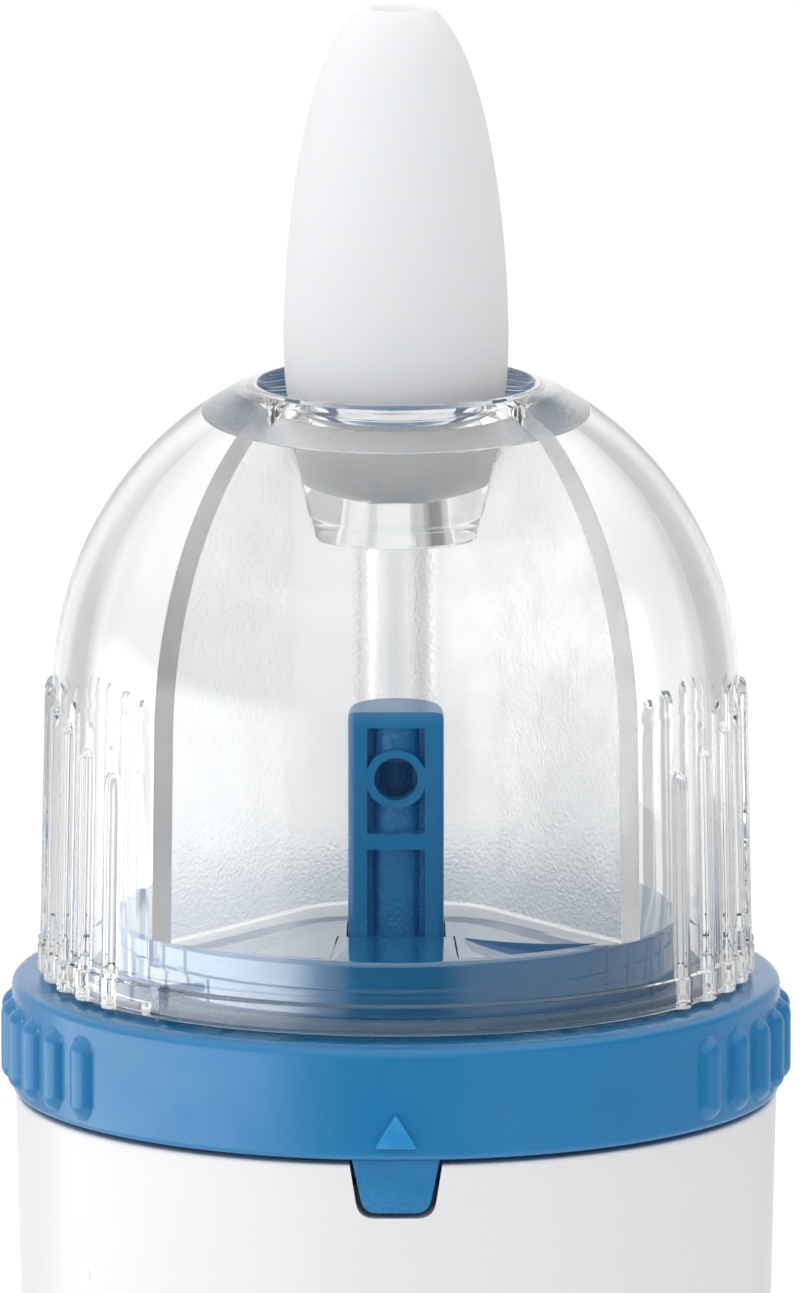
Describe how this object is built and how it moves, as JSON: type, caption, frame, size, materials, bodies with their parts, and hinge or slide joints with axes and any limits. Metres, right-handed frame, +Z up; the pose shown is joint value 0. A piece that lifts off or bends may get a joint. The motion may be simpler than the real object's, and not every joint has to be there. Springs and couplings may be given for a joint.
{
  "type": "nasal aspirator",
  "caption": "Cordless nasal aspirator: soft nose tip, clear collector cup on a blue ribbed base, white tapered handle with a thumb button and battery door.",
  "frame": {"origin": "centre of the flat base that the handle stands on", "axes": "+Z up along the handle to the nose tip, -Y is the front with the thumb button, +X to the right seen from the front"},
  "size_m": [0.0456, 0.0447, 0.1675],
  "materials": {
    "handle_white": "satin white moulding",
    "collector_blue": "semi-gloss blue moulding",
    "clear_plastic": "clear polycarbonate, polished",
    "white_silicone": "soft translucent white silicone",
    "seal_silicone": "soft pale silicone",
    "inner_plastic": "grey inner moulding",
    "black_plastic": "black moulding",
    "pump_rubber": "black rubber",
    "steel": "bright steel",
    "copper": "copper winding",
    "magnet_grey": "dark ferrite",
    "board_green": "green board",
    "cell_jacket": "plain dark cell jacket"
  },
  "bodies": {
    "handle": {"housing_front": "handle_white", "housing_back": "handle_white", "docking_deck": "inner_plastic", "housing_screw_1": "steel", "housing_screw_2": "steel", "housing_screw_3": "steel", "housing_screw_4": "steel", "tact_switch": "steel", "circuit_board": "board_green", "board_screw_left": "steel", "board_screw_right": "steel", "battery_tray": "inner_plastic", "battery_left": "cell_jacket", "battery_right": "cell_jacket", "bridge_contact": "steel", "positive_contact": "steel", "negative_contact": "steel", "battery_spring_lower": "steel", "battery_spring_upper": "steel", "motor_can": "steel", "motor_end_cap": "black_plastic", "magnet_left": "magnet_grey", "magnet_right": "magnet_grey", "pump_base": "black_plastic", "diaphragm": "pump_rubber", "valve_plate": "black_plastic", "outlet_valve": "pump_rubber", "inlet_valve_1": "pump_rubber", "inlet_valve_2": "pump_rubber", "inlet_valve_3": "pump_rubber", "pump_cover": "black_plastic", "pump_screw_1": "steel", "pump_screw_2": "steel", "pump_screw_3": "steel", "suction_tube": "white_silicone"},
    "collector": {"collector_base": "collector_blue", "vacuum_post": "collector_blue", "port_seal": "seal_silicone"},
    "seal": {"cup_seal": "seal_silicone"},
    "dome": {"collector_dome": "clear_plastic"},
    "tip": {"nose_tip": "white_silicone"},
    "button": {"power_button": "collector_blue", "tact_plunger": "black_plastic"},
    "door": {"battery_door": "handle_white"},
    "rotor": {"motor_shaft": "steel", "armature": "copper", "commutator": "copper", "crank_wheel": "black_plastic", "crank_pin": "steel"},
    "wobble": {"wobble_plate": "black_plastic"}
  },
  "joints": [
    {"name": "collector_lift", "type": "slide", "parent": "handle", "child": "collector", "axis": [0, 0, 1], "range_m": [0, 0.03]},
    {"name": "dome_twist", "type": "hinge", "parent": "collector", "child": "seal", "pos_m": [0, 0, 0.1113], "axis": [0, 0, 1], "range_deg": [0, 25]},
    {"name": "dome_lift", "type": "slide", "parent": "seal", "child": "dome", "axis": [0, 0, 1], "range_m": [0, 0.045]},
    {"name": "tip_pull", "type": "slide", "parent": "dome", "child": "tip", "axis": [0, 0, 1], "range_m": [0, 0.03]},
    {"name": "button_press", "type": "slide", "parent": "handle", "child": "button", "axis": [0, 1, 0], "range_m": [0, 0.0006], "stiffness_N_per_m": 1000, "springref_m": -0.0002},
    {"name": "door_tilt", "type": "hinge", "parent": "handle", "child": "door", "pos_m": [0, 0.01972, 0.0053], "axis": [-1, 0, 0], "range_deg": [0, 75]},
    {"name": "motor_spin", "type": "hinge", "parent": "handle", "child": "rotor", "pos_m": [0, 0.0015, 0.0622], "axis": [0, 0, 1], "continuous": true},
    {"name": "wobble_turn", "type": "hinge", "parent": "rotor", "child": "wobble", "pos_m": [0, 0.0015, 0.0924], "axis": [-0.1372, 0, 0.9905], "continuous": true}
  ],
  "couplings": [
    {"joint": "wobble_turn", "follows": "motor_spin", "ratio": -1}
  ]
}
